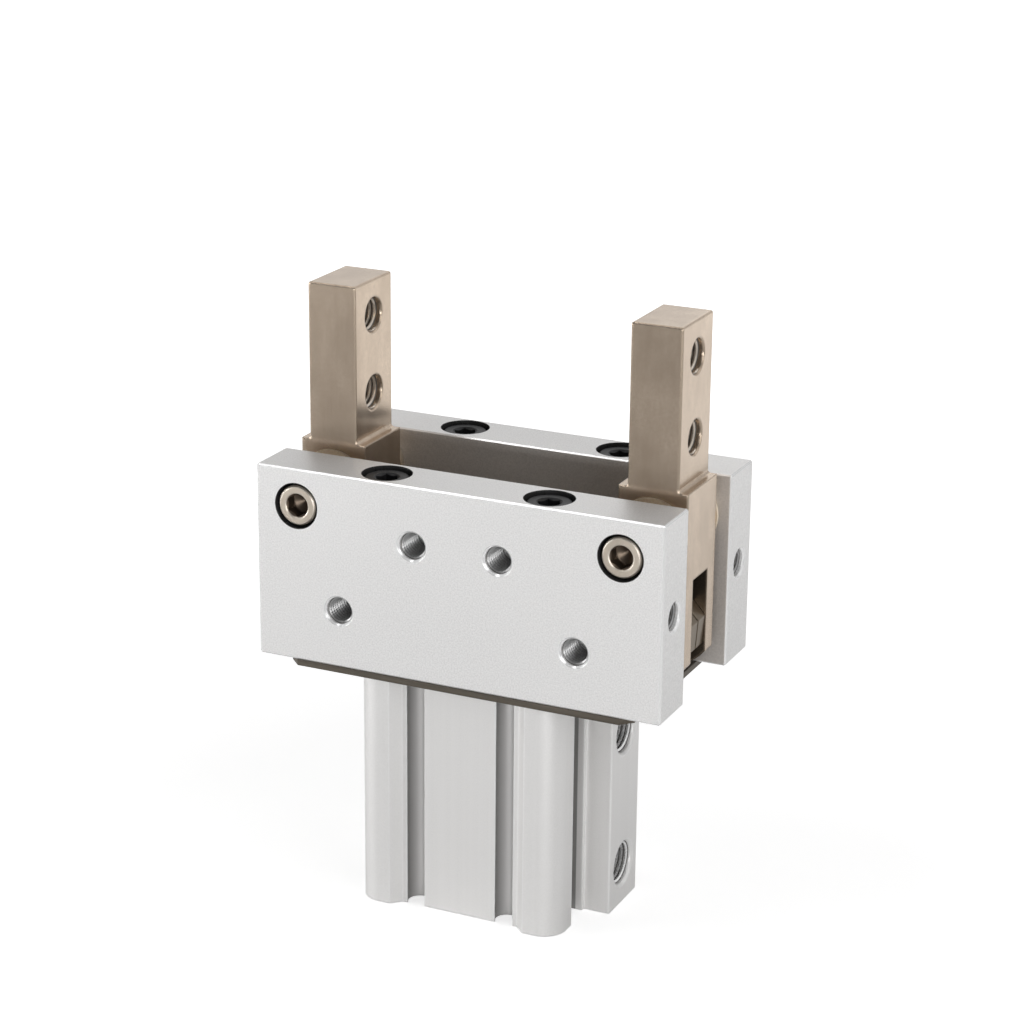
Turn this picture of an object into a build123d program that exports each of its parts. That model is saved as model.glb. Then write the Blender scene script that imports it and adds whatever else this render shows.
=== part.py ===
from build123d import *
from math import acos, atan2, cos, degrees, hypot, radians, sin, sqrt
import os

os.makedirs("parts", exist_ok=True)

# Toggle gripper: a cylinder lifts a crosshead, whose links swing two fingers open.
# X runs from finger to finger, Y from the front plate to the rear plate and Z up.
# Zero is the middle of the cylinder's bottom face. Rest is closed, with the rod down.

# Metric fasteners, drawn at the outer diameter of their threads
m8_thread = 8.0
m8_clearance_hole = 9.0
m8_head_diameter = 13.0
m8_head_height = 8.0
m8_counterbore = 14.4
m8_counterbore_depth = 9.0
m8_tapping_drill = 6.8
m8_plate_mouth = 9.2
m10_thread = 10.0
m10_finger_mouth = 10.8
m8_hex_flats = 6.0
m8_hex_depth = 4.0
hex_mouth_diameter = 7.4
hex_mouth_depth = 0.8
hex_drill_diameter = 5.6
hex_drill_point = 1.6
thread_engagement = 14.7
thread_clearance = 0.05

# Cylinder body
bore_diameter = 50.0
side_wall = 7.0
corner_inset = 7.0
bottom_wall = 8.0
valley_depth = 2.9
lobe_flat = 3.7
lip_width = 1.5
groove_width = 5.6
groove_round = 7.0
groove_wall = 0.4
pad_recess = 1.0
port_boss_width = 20.0
port_boss_height = 7.0
port_boss_round = 0.5
corner_thread_depth = 22.0

# Air ports and their passages
port_diameter = 13.0
port_mouth = 14.5
port_floor = 2.0
passage_diameter = 3.0
passage_lift = 2.0
lower_port_offset = 2.0
upper_port_offset = 4.9
passage_overrun = 1.0

# Piston, rod and their rings
piston_length = 17.5
piston_clearance = 0.05
bumper_thickness = 1.2
bumper_clearance = 0.3
bumper_diameter = 38.0
bumper_chamfer = 0.3
rod_diameter = 20.0
rod_spigot = 12.0
rod_thread = 12.0
rod_thread_length = 16.0
rod_flats = 17.0
rod_flats_length = 5.0
wear_ring_height = 4.0
wear_ring_depth = 1.5
magnet_height = 3.4
magnet_depth = 3.5
piston_seal_height = 3.0
piston_seal_depth = 3.5
piston_land = 2.0
piston_chamfer = 0.5

# Rod cover
cover_length = 18.9
cover_clearance = 0.05
cover_nose_length = 3.0
cover_nose_step = 2.0
cover_rod_gap = 0.2
bush_wall = 1.5
bush_length = 10.0
rod_seal_wall = 4.0
rod_seal_height = 4.5
rod_seal_channel = 1.0
cover_lip = 2.0
rod_clearance = 0.05
o_ring_section = 2.0
o_ring_lift = 7.0
o_ring_sides = 8
snap_ring_thickness = 1.8
snap_ring_bite = 1.2
snap_ring_width = 4.4
snap_ring_gap = 14.0
snap_ring_lug = 3.4
snap_ring_lug_hole = 2.0
ring_setback = 4.2

# Base plate
base_thickness = 1.8
base_setback = 8.9
base_corner = 3.5
base_rod_gap = 2.0

# Side plates
plate_length = 125.0
plate_thickness = 17.0
plate_chamfer = 0.5
plate_above_pivot = 11.0
screw_row_offset = 0.3
upper_hole_pitch = 26.4
upper_hole_height = 40.0
lower_hole_pitch = 73.0
lower_hole_height = 17.0
face_hole_depth = 13.0
end_hole_height = 29.0
end_hole_depth = 15.0

# Finger pivots
pivot_from_end = 12.75
pivot_diameter = 10.0
pivot_head_diameter = 11.8
pivot_head_height = 6.1
pivot_recess_diameter = 13.4
pivot_recess_depth = 6.5
pivot_seat_depth = 5.0
pivot_running_clearance = 0.03
pivot_thread_length = 11.0
bush_outer_diameter = 14.0
washer_diameter = 21.4
washer_thickness = 1.0
collar_diameter = 18.0
collar_bore_clearance = 0.1
finger_side_clearance = 0.05

# Fingers
finger_width = 22.0
finger_body_width = 20.8
finger_block_width = 15.2
finger_block_height = 46.6
finger_ledge_gap = 1.9
finger_ledge_land = 1.8
finger_corner_round = 0.7
finger_edge_chamfer = 0.3
finger_end_radius = 12.7
finger_slot_rise = 17.5
finger_hole_pitch = 23.0
finger_hole_from_top = 10.5
lever_arm = 31.0
finger_opening = 14.0

# Links and their pins
link_pin_diameter = 10.0
link_thickness = 5.0
link_gap = 0.7
link_height = 16.0
link_end = 9.9
link_corner = 3.8
link_side_clearance = 0.15
link_pin_clearance = 0.05
pin_end_clearance = 0.3

# Crosshead
crosshead_pin_pitch = 40.0
crosshead_pin_height = 16.7
crosshead_lift = 1.0
crosshead_above_pin = 8.5
crosshead_overhang = 8.5
crosshead_guide_clearance = 0.4
crosshead_web = 17.4
crosshead_floor = 7.5
crosshead_floor_length = 34.0
crosshead_corner = 2.0
toggle_rise = 2.2

# Body section, worked out from the bore outwards
body_width = bore_diameter + 2 * side_wall
bolt_pitch = body_width - 2 * corner_inset
body_half = body_width / 2
bolt_half = bolt_pitch / 2
valley_floor = body_half - valley_depth
valley_half = bolt_half - lobe_flat
groove_offset = valley_half - valley_depth - lip_width - groove_width / 2
groove_reach = bore_diameter / 2 + snap_ring_bite + groove_wall + groove_round / 2
groove_x = sqrt(groove_reach**2 - groove_offset**2)
pad_half = groove_offset - groove_width / 2
pad_face = body_half - pad_recess
port_face = body_half + port_boss_height

# Linkage: the crosshead pins rise in a line while the finger pins swing about the pivots
pivot_half = plate_length / 2 - pivot_from_end
cross_half = crosshead_pin_pitch / 2
link_length = hypot(pivot_half - cross_half, toggle_rise)
rest_tilt = atan2(toggle_rise, pivot_half - cross_half)
open_pin_x = pivot_half - lever_arm * sin(radians(finger_opening))
open_pin_rise = lever_arm * (1 - cos(radians(finger_opening)))
open_tilt = acos((open_pin_x - cross_half) / link_length)
stroke = open_pin_rise + link_length * sin(open_tilt) - toggle_rise


def pin_drift(share):
    """Finger pin's place along and across its link, when all turn in step with the rod."""
    swing = radians(finger_opening) * share
    tilt = rest_tilt + (open_tilt - rest_tilt) * share
    run = pivot_half - lever_arm * sin(swing) - cross_half
    drop = lever_arm * (1 - cos(swing)) - toggle_rise - stroke * share
    along = run * cos(tilt) - drop * sin(tilt) - link_length
    across = run * sin(tilt) + drop * cos(tilt)
    return along, across


drift_steps = [pin_drift(step / 20) for step in range(21)]
slot_travel = max(abs(along) for along, across in drift_steps)
slot_side_drift = max(abs(across) for along, across in drift_steps)
slot_diameter = link_pin_diameter + 2 * (slot_side_drift + link_pin_clearance)

# Heights, stacked from the cylinder's bottom face
piston_bottom = bottom_wall + bumper_thickness + bumper_clearance
piston_top = piston_bottom + piston_length
cover_bottom = piston_top + stroke + bumper_thickness + bumper_clearance
cover_top = cover_bottom + cover_length
body_length = cover_top + ring_setback
plate_bottom = body_length + base_thickness
crosshead_bottom = plate_bottom + crosshead_lift
crosshead_pin_z = crosshead_bottom + crosshead_pin_height
finger_pin_z = crosshead_pin_z - toggle_rise
pivot_z = finger_pin_z + lever_arm
plate_top = pivot_z + plate_above_pivot
plate_height = plate_top - plate_bottom
finger_ledge_z = plate_top + finger_ledge_gap
finger_ledge_round = (finger_body_width - finger_block_width) / 2 - finger_ledge_land
finger_top = finger_ledge_z + finger_block_height
lower_passage_z = bottom_wall + passage_lift
upper_passage_z = cover_bottom + passage_lift - bumper_clearance
port_heights = (lower_passage_z + lower_port_offset, upper_passage_z + upper_port_offset)

# Widths across the plates
plate_gap = bolt_pitch - plate_thickness - 2 * screw_row_offset
plate_inner = plate_gap / 2
plate_outer = plate_inner + plate_thickness
plate_middle = (plate_inner + plate_outer) / 2
collar_length = plate_inner - finger_width / 2 - washer_thickness - finger_side_clearance
slot_width = 2 * link_thickness + link_gap + 2 * link_side_clearance
crosshead_half = cross_half + crosshead_overhang
crosshead_height = crosshead_pin_height + crosshead_above_pin
crosshead_width = plate_gap - 2 * crosshead_guide_clearance

hole_rows = ((upper_hole_pitch, upper_hole_height), (lower_hole_pitch, lower_hole_height))
sides = {"left": -1, "right": 1}
faces = {"front": -1, "rear": 1}


def facing(x, y, z, direction):
    """Plane at a point of a face, looking out of it."""
    return Plane(origin=(x, y, z), z_dir=direction)


def socket_ends(plane):
    """Coned mouth and drill point of a hex socket, below a plane that looks out of the screw head."""
    inwards = (Align.CENTER, Align.CENTER, Align.MAX)
    mouth_radius = hex_mouth_diameter / 2
    with Locations(plane):
        Cone(
            mouth_radius - hex_mouth_depth, mouth_radius, hex_mouth_depth, align=inwards, mode=Mode.SUBTRACT
        )
    with Locations(plane.offset(-m8_hex_depth)):
        Cone(0, hex_drill_diameter / 2, hex_drill_point, align=inwards, mode=Mode.SUBTRACT)


# Cylinder body: extruded profile, lobed round the corner screws, with two grooves on each side
with BuildPart() as cylinder_body:
    with BuildSketch() as body_section:
        Rectangle(body_width, body_width)
        fillet(body_section.vertices(), corner_inset)
        with PolarLocations(0, 4):
            Polygon(
                (valley_floor, -valley_half + valley_depth),
                (body_half + lip_width, -valley_half - lip_width),
                (body_half + lip_width, valley_half + lip_width),
                (valley_floor, valley_half - valley_depth),
                align=None,
                mode=Mode.SUBTRACT,
            )
            for groove_y in (-groove_offset, groove_offset):
                with Locations((groove_x, groove_y)):
                    Circle(groove_round / 2, mode=Mode.SUBTRACT)
                    Rectangle(
                        valley_floor + lip_width - groove_x,
                        groove_width,
                        align=(Align.MIN, Align.CENTER),
                        mode=Mode.SUBTRACT,
                    )
        with Locations((bore_diameter / 2, 0)):
            Rectangle(pad_face - bore_diameter / 2, 2 * pad_half, align=(Align.MIN, Align.CENTER))
            Rectangle(port_face - bore_diameter / 2, port_boss_width, align=(Align.MIN, Align.CENTER))
        fillet(body_section.vertices().group_by(Axis.X)[-1], port_boss_round)
    extrude(amount=body_length)
    with BuildSketch(Plane.XY.offset(bottom_wall)):
        Circle(bore_diameter / 2)
    extrude(amount=body_length - bottom_wall, mode=Mode.SUBTRACT)
    with BuildSketch(Plane.XY.offset(cover_top)):
        Circle(bore_diameter / 2 + snap_ring_bite)
    extrude(amount=snap_ring_thickness + thread_clearance, mode=Mode.SUBTRACT)
    with GridLocations(bolt_pitch, bolt_pitch, 2, 2):
        Hole(m8_tapping_drill / 2)
    for end_z in (0, body_length - corner_thread_depth):
        with BuildSketch(Plane.XY.offset(end_z)):
            with GridLocations(bolt_pitch, bolt_pitch, 2, 2):
                Circle(m8_thread / 2)
        extrude(amount=corner_thread_depth, mode=Mode.SUBTRACT)
    for port_z, passage_z in zip(port_heights, (lower_passage_z, upper_passage_z)):
        with Locations(facing(port_face, 0, port_z, (1, 0, 0))):
            CounterSinkHole(
                port_diameter / 2,
                port_mouth / 2,
                depth=port_face - bore_diameter / 2 - port_floor,
                counter_sink_angle=90,
            )
        with BuildSketch(Plane.YZ):
            with Locations((0, passage_z)):
                Circle(passage_diameter / 2)
        extrude(amount=bore_diameter / 2 + port_floor + passage_overrun, mode=Mode.SUBTRACT)

cylinder_body.part.label = "cylinder_body"
export_step(cylinder_body.part, "parts/cylinder_body.step")


def ring(inner_radius, outer_radius, bottom, height):
    """Profile of a plain ring about Z, for a sketch on the XZ plane."""
    with Locations((inner_radius, bottom)):
        Rectangle(outer_radius - inner_radius, height, align=(Align.MIN, Align.MIN))


# Piston and the three rings in its grooves, from the bottom up
piston_radius = bore_diameter / 2 - piston_clearance
wear_ring_z = piston_bottom + piston_land
magnet_z = wear_ring_z + wear_ring_height + piston_land
piston_seal_z = magnet_z + magnet_height + piston_land
piston_rings = {
    "wear_ring": (wear_ring_z, wear_ring_height, wear_ring_depth),
    "piston_magnet": (magnet_z, magnet_height, magnet_depth),
    "piston_seal": (piston_seal_z, piston_seal_height, piston_seal_depth),
}

with BuildPart() as piston:
    with BuildSketch(Plane.XZ) as piston_section:
        ring(rod_spigot / 2 + thread_clearance, piston_radius, piston_bottom, piston_length)
        chamfer(piston_section.vertices().group_by(Axis.X)[-1], piston_chamfer)
        for groove_z, groove_height, groove_depth in piston_rings.values():
            with Locations((piston_radius, groove_z)):
                Rectangle(
                    2 * groove_depth, groove_height, align=(Align.CENTER, Align.MIN), mode=Mode.SUBTRACT
                )
    revolve(axis=Axis.Z)
piston.part.label = "piston"
export_step(piston.part, "parts/piston.step")

for ring_name, (groove_z, groove_height, groove_depth) in piston_rings.items():
    with BuildPart() as piston_ring:
        with BuildSketch(Plane.XZ):
            ring(piston_radius - groove_depth, piston_radius, groove_z, groove_height)
        revolve(axis=Axis.Z)
    piston_ring.part.label = ring_name
    export_step(piston_ring.part, f"parts/{ring_name}.step")

# Rubber bumpers on both faces of the piston
bumpers = {
    "lower_bumper": (0, piston_bottom - bumper_thickness),
    "upper_bumper": (rod_diameter / 2 + rod_clearance, piston_top),
}
for bumper_name, (bumper_inner, bumper_z) in bumpers.items():
    with BuildPart() as bumper:
        with BuildSketch(Plane.XZ):
            ring(bumper_inner, bumper_diameter / 2, bumper_z, bumper_thickness)
        revolve(axis=Axis.Z)
        chamfer(bumper.edges().filter_by(GeomType.CIRCLE).sort_by(SortBy.RADIUS)[-2:], bumper_chamfer)
    bumper.part.label = bumper_name
    export_step(bumper.part, f"parts/{bumper_name}.step")

# Piston rod: spigot in the piston, ground shank, wrench flats and a thread in the crosshead
with BuildPart() as rod:
    with BuildSketch(Plane.XZ):
        ring(0, rod_spigot / 2, piston_bottom, piston_length)
        ring(0, rod_diameter / 2, piston_top, crosshead_bottom - piston_top)
        ring(0, rod_thread / 2 - thread_clearance, crosshead_bottom, rod_thread_length)
    revolve(axis=Axis.Z)
    for flat_side in (-1, 1):
        with Locations((flat_side * rod_flats / 2, 0, crosshead_bottom - rod_flats_length)):
            Box(
                rod_diameter,
                rod_diameter,
                rod_flats_length - crosshead_lift,
                align=(Align.MIN if flat_side > 0 else Align.MAX, Align.CENTER, Align.MIN),
                mode=Mode.SUBTRACT,
            )
rod.part.label = "rod"
export_step(rod.part, "parts/rod.step")

# Rod cover: stepped nose, outer O-ring groove, bush seat below and seal seat above
cover_radius = bore_diameter / 2 - cover_clearance
bush_outer = rod_diameter / 2 + rod_clearance + bush_wall
rod_seal_outer = rod_diameter / 2 + rod_clearance + rod_seal_wall
rod_seal_z = cover_top - cover_lip - rod_seal_height
o_ring_z = cover_bottom + o_ring_lift
o_ring_groove = o_ring_section + cover_clearance

with BuildPart() as rod_cover:
    with BuildSketch(Plane.XZ):
        ring(rod_diameter / 2 + cover_rod_gap, cover_radius - cover_nose_step, cover_bottom, cover_length)
        ring(bush_outer, cover_radius, cover_bottom + cover_nose_length, cover_length - cover_nose_length)
        with Locations((0, cover_bottom)):
            Rectangle(bush_outer, bush_length, align=(Align.MIN, Align.MIN), mode=Mode.SUBTRACT)
        with Locations((0, rod_seal_z)):
            Rectangle(rod_seal_outer, rod_seal_height, align=(Align.MIN, Align.MIN), mode=Mode.SUBTRACT)
        with Locations((cover_radius, o_ring_z)):
            Rectangle(
                2 * o_ring_groove, o_ring_groove, align=(Align.CENTER, Align.MIN), mode=Mode.SUBTRACT
            )
    revolve(axis=Axis.Z)
rod_cover.part.label = "rod_cover"
export_step(rod_cover.part, "parts/rod_cover.step")

with BuildPart() as rod_bush:
    with BuildSketch(Plane.XZ):
        ring(bush_outer - bush_wall, bush_outer, cover_bottom, bush_length)
    revolve(axis=Axis.Z)
rod_bush.part.label = "rod_bush"
export_step(rod_bush.part, "parts/rod_bush.step")

with BuildPart() as rod_seal:
    with BuildSketch(Plane.XZ) as rod_seal_section:
        ring(rod_seal_outer - rod_seal_wall, rod_seal_outer, rod_seal_z, rod_seal_height)
        with Locations((rod_seal_outer - rod_seal_wall / 2, rod_seal_z)):
            Rectangle(rod_seal_channel, rod_seal_height, mode=Mode.SUBTRACT)
    revolve(axis=Axis.Z)
rod_seal.part.label = "rod_seal"
export_step(rod_seal.part, "parts/rod_seal.step")

with BuildPart() as cover_o_ring:
    with BuildSketch(Plane.XZ):
        with Locations((cover_radius - o_ring_section / 2, o_ring_z + o_ring_groove / 2)):
            RegularPolygon(o_ring_section / 2, o_ring_sides, major_radius=False, rotation=180 / o_ring_sides)
    revolve(axis=Axis.Z)
cover_o_ring.part.label = "cover_o_ring"
export_step(cover_o_ring.part, "parts/cover_o_ring.step")

# Snap ring: open ring with two eyes, sprung into the groove above the rod cover
with BuildPart() as cover_snap_ring:
    snap_outer = bore_diameter / 2 + snap_ring_bite - thread_clearance
    lug_radius = snap_outer - snap_ring_bite - snap_ring_width
    lug_angle = degrees(snap_ring_gap / lug_radius) / 2
    with BuildSketch(Plane.XY.offset(cover_top)):
        Circle(snap_outer)
        Circle(snap_outer - snap_ring_width, mode=Mode.SUBTRACT)
        Rectangle(
            snap_outer, snap_ring_gap - snap_ring_lug, align=(Align.MIN, Align.CENTER), mode=Mode.SUBTRACT
        )
        with PolarLocations(lug_radius, 2, -lug_angle, 2 * lug_angle, endpoint=True):
            Circle(snap_ring_lug)
            Circle(snap_ring_lug_hole / 2, mode=Mode.SUBTRACT)
    extrude(amount=snap_ring_thickness)
cover_snap_ring.part.label = "cover_snap_ring"
export_step(cover_snap_ring.part, "parts/cover_snap_ring.step")

# Thin base plate between the cylinder and the side plates
with BuildPart() as base_plate:
    with BuildSketch(Plane.XY.offset(body_length)) as base_outline:
        Rectangle(plate_length - 2 * base_setback, 2 * plate_outer)
        chamfer(base_outline.vertices(), base_corner)
        Circle(rod_diameter / 2 + base_rod_gap, mode=Mode.SUBTRACT)
        with GridLocations(bolt_pitch, bolt_pitch, 2, 2):
            Circle(m8_clearance_hole / 2, mode=Mode.SUBTRACT)
    extrude(amount=base_thickness)
base_plate.part.label = "base_plate"
export_step(base_plate.part, "parts/base_plate.step")

# Side plates: mirrored blocks with clamp screw holes, tapped faces and ends, and pivot holes
for face_name, face_side in faces.items():
    with BuildPart() as side_plate:
        with Locations((0, face_side * plate_middle, plate_bottom)):
            Box(
                plate_length, plate_thickness, plate_height, align=(Align.CENTER, Align.CENTER, Align.MIN)
            )
        chamfer(side_plate.edges(), plate_chamfer)
        with Locations(*[(x, face_side * bolt_half, plate_top) for x in (-bolt_half, bolt_half)]):
            CounterBoreHole(
                m8_clearance_hole / 2, m8_counterbore / 2, m8_counterbore_depth, depth=plate_height
            )
        face_holes = [
            (side * pitch / 2, plate_bottom + height)
            for side in sides.values()
            for pitch, height in hole_rows
        ]
        with Locations(*[facing(x, face_side * plate_outer, z, (0, face_side, 0)) for x, z in face_holes]):
            CounterSinkHole(m8_thread / 2, m8_plate_mouth / 2, depth=face_hole_depth, counter_sink_angle=90)
        end_z = plate_bottom + end_hole_height
        pivot_hole = pivot_diameter / 2 + thread_clearance
        for side in sides.values():
            with Locations(facing(side * plate_length / 2, face_side * plate_middle, end_z, (side, 0, 0))):
                CounterSinkHole(
                    m8_thread / 2, m8_plate_mouth / 2, depth=end_hole_depth, counter_sink_angle=90
                )
            if face_name == "front":
                with Locations(facing(side * pivot_half, -plate_outer, pivot_z, (0, -1, 0))):
                    CounterBoreHole(
                        pivot_hole, pivot_recess_diameter / 2, pivot_recess_depth, depth=plate_thickness
                    )
            else:
                with Locations(facing(side * pivot_half, plate_inner, pivot_z, (0, -1, 0))):
                    CounterBoreHole(m8_thread / 2, pivot_hole, pivot_seat_depth, depth=plate_thickness)
    side_plate.part.label = f"side_plate_{face_name}"
    export_step(side_plate.part, f"parts/side_plate_{face_name}.step")

# Cap screws that clamp the side plates and the base plate to the cylinder
head_seat = plate_top - m8_counterbore_depth
screw_length = head_seat - body_length + thread_engagement
with BuildPart() as plate_screws:
    with BuildSketch(Plane.XY.offset(head_seat)):
        with GridLocations(bolt_pitch, bolt_pitch, 2, 2):
            Circle(m8_head_diameter / 2)
    extrude(amount=m8_head_height)
    chamfer(plate_screws.faces().group_by(Axis.Z)[-1].edges(), plate_chamfer)
    with BuildSketch(Plane.XY.offset(head_seat)):
        with GridLocations(bolt_pitch, bolt_pitch, 2, 2):
            Circle(m8_thread / 2 - thread_clearance)
    extrude(amount=-screw_length)
    with BuildSketch(Plane.XY.offset(head_seat + m8_head_height)):
        with GridLocations(bolt_pitch, bolt_pitch, 2, 2):
            RegularPolygon(m8_hex_flats / 2, 6, major_radius=False)
    extrude(amount=-m8_hex_depth, mode=Mode.SUBTRACT)
    for x in (-bolt_half, bolt_half):
        for y in (-bolt_half, bolt_half):
            socket_ends(facing(x, y, head_seat + m8_head_height, (0, 0, 1)))
plate_screws.part.label = "plate_screws"
export_step(plate_screws.part, "parts/plate_screws.step")

# Pivot screws: sunk hex heads in front, plain shanks through the fingers, threads in the rear plate
head_face = pivot_recess_depth - pivot_head_height
shank_length = plate_outer - pivot_recess_depth + plate_inner + pivot_seat_depth
for side_name, side in sides.items():
    with BuildPart() as pivot_screw:
        with BuildSketch(facing(side * pivot_half, head_face - plate_outer, pivot_z, (0, 1, 0))):
            Circle(pivot_head_diameter / 2)
        extrude(amount=pivot_head_height)
        chamfer(pivot_screw.faces().sort_by(Axis.Y)[0].edges(), plate_chamfer)
        with BuildSketch(facing(side * pivot_half, pivot_recess_depth - plate_outer, pivot_z, (0, 1, 0))):
            Circle(pivot_diameter / 2)
        extrude(amount=shank_length)
        with BuildSketch(facing(side * pivot_half, plate_inner + pivot_seat_depth, pivot_z, (0, 1, 0))):
            Circle(m8_thread / 2 - thread_clearance)
        extrude(amount=pivot_thread_length)
        with BuildSketch(facing(side * pivot_half, head_face - plate_outer, pivot_z, (0, 1, 0))):
            RegularPolygon(m8_hex_flats / 2, 6, major_radius=False)
        extrude(amount=m8_hex_depth, mode=Mode.SUBTRACT)
        socket_ends(facing(side * pivot_half, head_face - plate_outer, pivot_z, (0, -1, 0)))
    pivot_screw.part.label = f"pivot_screw_{side_name}"
    export_step(pivot_screw.part, f"parts/pivot_screw_{side_name}.step")

# Thrust washers against the finger faces and collars out to the side plates
washer_face = finger_width / 2 + finger_side_clearance
collar_face = washer_face + washer_thickness
for side_name, side in sides.items():
    for face_name, face_side in faces.items():
        with BuildPart() as thrust_washer:
            with BuildSketch(facing(side * pivot_half, face_side * washer_face, pivot_z, (0, face_side, 0))):
                Circle(washer_diameter / 2)
                Circle(pivot_hole, mode=Mode.SUBTRACT)
            extrude(amount=washer_thickness)
        thrust_washer.part.label = f"thrust_washer_{side_name}_{face_name}"
        export_step(thrust_washer.part, f"parts/thrust_washer_{side_name}_{face_name}.step")

        with BuildPart() as spacer_collar:
            with BuildSketch(facing(side * pivot_half, face_side * collar_face, pivot_z, (0, face_side, 0))):
                Circle(collar_diameter / 2)
                Circle(pivot_diameter / 2 + collar_bore_clearance, mode=Mode.SUBTRACT)
            extrude(amount=collar_length)
        spacer_collar.part.label = f"spacer_collar_{side_name}_{face_name}"
        export_step(spacer_collar.part, f"parts/spacer_collar_{side_name}_{face_name}.step")

# Fingers: forked levers that narrow to a drilled block above the plates
for side_name, side in sides.items():
    finger_x = side * pivot_half
    with BuildPart() as finger:
        with BuildSketch(Plane.XZ) as finger_profile:
            with Locations((finger_x, finger_pin_z)):
                Circle(finger_end_radius)
                Rectangle(finger_body_width, 2 * finger_end_radius, mode=Mode.INTERSECT)
                Rectangle(finger_body_width, finger_ledge_z - finger_pin_z, align=(Align.CENTER, Align.MIN))
            with Locations((finger_x, finger_ledge_z)):
                Rectangle(finger_block_width, finger_block_height, align=(Align.CENTER, Align.MIN))
            ledge_corners = finger_profile.vertices().group_by(Axis.Y)[-2].sort_by(Axis.X)
            fillet(ledge_corners[1:3], finger_ledge_round)
            outer_corners = finger_profile.vertices().group_by(Axis.Y)[-1]
            fillet(outer_corners + [ledge_corners[0], ledge_corners[-1]], finger_corner_round)
        extrude(amount=finger_width / 2, both=True)
        chamfer(finger.faces().group_by(Axis.Y)[0].edges(), finger_edge_chamfer)
        chamfer(finger.faces().group_by(Axis.Y)[-1].edges(), finger_edge_chamfer)
        with Locations((finger_x, 0, finger_pin_z + finger_slot_rise)):
            Box(
                2 * finger_body_width,
                slot_width,
                finger_slot_rise + 2 * finger_end_radius,
                align=(Align.CENTER, Align.CENTER, Align.MAX),
                mode=Mode.SUBTRACT,
            )
        with Locations(facing(finger_x, 0, pivot_z, (0, 1, 0))):
            Hole(bush_outer_diameter / 2)
        with Locations(facing(finger_x, 0, finger_pin_z, (0, 1, 0))):
            Hole(link_pin_diameter / 2)
        upper_hole_z = finger_top - finger_hole_from_top
        for hole_z in (upper_hole_z, upper_hole_z - finger_hole_pitch):
            for end in (-1, 1):
                with Locations(facing(finger_x + end * finger_block_width / 2, 0, hole_z, (end, 0, 0))):
                    CounterSinkHole(
                        m10_thread / 2, m10_finger_mouth / 2, depth=finger_block_width, counter_sink_angle=90
                    )
    finger.part.label = f"finger_{side_name}"
    export_step(finger.part, f"parts/finger_{side_name}.step")

    with BuildPart() as finger_bush:
        with BuildSketch(Plane.XZ):
            with Locations((finger_x, pivot_z)):
                Circle(bush_outer_diameter / 2)
                Circle(pivot_diameter / 2 + pivot_running_clearance, mode=Mode.SUBTRACT)
        extrude(amount=finger_width / 2, both=True)
    finger_bush.part.label = f"finger_bush_{side_name}"
    export_step(finger_bush.part, f"parts/finger_bush_{side_name}.step")

    with BuildPart() as finger_pin:
        with BuildSketch(Plane.XZ):
            with Locations((finger_x, finger_pin_z)):
                Circle(link_pin_diameter / 2)
        extrude(amount=finger_width / 2 - pin_end_clearance, both=True)
        chamfer(finger_pin.edges().filter_by(GeomType.CIRCLE), pin_end_clearance)
    finger_pin.part.label = f"finger_pin_{side_name}"
    export_step(finger_pin.part, f"parts/finger_pin_{side_name}.step")

# Crosshead: block on the rod, slotted for the links and open to both fingers
with BuildPart() as crosshead:
    with BuildSketch(Plane.XZ) as crosshead_profile:
        with Locations((0, crosshead_bottom)):
            Rectangle(2 * crosshead_half, crosshead_height, align=(Align.CENTER, Align.MIN))
        chamfer(crosshead_profile.vertices(), crosshead_corner)
    extrude(amount=crosshead_width / 2, both=True)
    for side in sides.values():
        slot_align = Align.MIN if side > 0 else Align.MAX
        with Locations((side * crosshead_web / 2, 0, crosshead_bottom + crosshead_floor)):
            Box(
                crosshead_half,
                slot_width,
                crosshead_height,
                align=(slot_align, Align.CENTER, Align.MIN),
                mode=Mode.SUBTRACT,
            )
        with Locations((side * crosshead_floor_length / 2, 0, crosshead_bottom)):
            Box(
                crosshead_half,
                slot_width,
                crosshead_pin_height,
                align=(slot_align, Align.CENTER, Align.MIN),
                mode=Mode.SUBTRACT,
            )
        with Locations(facing(side * cross_half, 0, crosshead_pin_z, (0, 1, 0))):
            Hole(link_pin_diameter / 2)
    with Locations(facing(0, 0, crosshead_bottom, (0, 0, -1))):
        Hole(rod_thread / 2, depth=rod_thread_length + thread_clearance)
crosshead.part.label = "crosshead"
export_step(crosshead.part, "parts/crosshead.step")

# Crosshead pins and the two link plates on each of them
for side_name, side in sides.items():
    with BuildPart() as crosshead_pin:
        with BuildSketch(Plane.XZ):
            with Locations((side * cross_half, crosshead_pin_z)):
                Circle(link_pin_diameter / 2)
        extrude(amount=crosshead_width / 2 - pin_end_clearance, both=True)
        chamfer(crosshead_pin.edges().filter_by(GeomType.CIRCLE), pin_end_clearance)
    crosshead_pin.part.label = f"crosshead_pin_{side_name}"
    export_step(crosshead_pin.part, f"parts/crosshead_pin_{side_name}.step")

    for face_name, face_side in faces.items():
        link_plane = Plane(
            origin=(side * cross_half, face_side * (link_gap + link_thickness) / 2, crosshead_pin_z),
            x_dir=(side * cos(rest_tilt), 0, -sin(rest_tilt)),
            z_dir=(0, -side, 0),
        )
        with BuildPart() as link:
            with BuildSketch(link_plane) as link_profile:
                with Locations((link_length / 2, 0)):
                    Rectangle(link_length + 2 * link_end, link_height)
                chamfer(link_profile.vertices(), link_corner)
                Circle(link_pin_diameter / 2 + link_pin_clearance, mode=Mode.SUBTRACT)
                with Locations((link_length - slot_travel / 2, 0)):
                    SlotCenterToCenter(slot_travel, slot_diameter, mode=Mode.SUBTRACT)
            extrude(amount=link_thickness / 2, both=True)
        link.part.label = f"link_{side_name}_{face_name}"
        export_step(link.part, f"parts/link_{side_name}_{face_name}.step")

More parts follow.
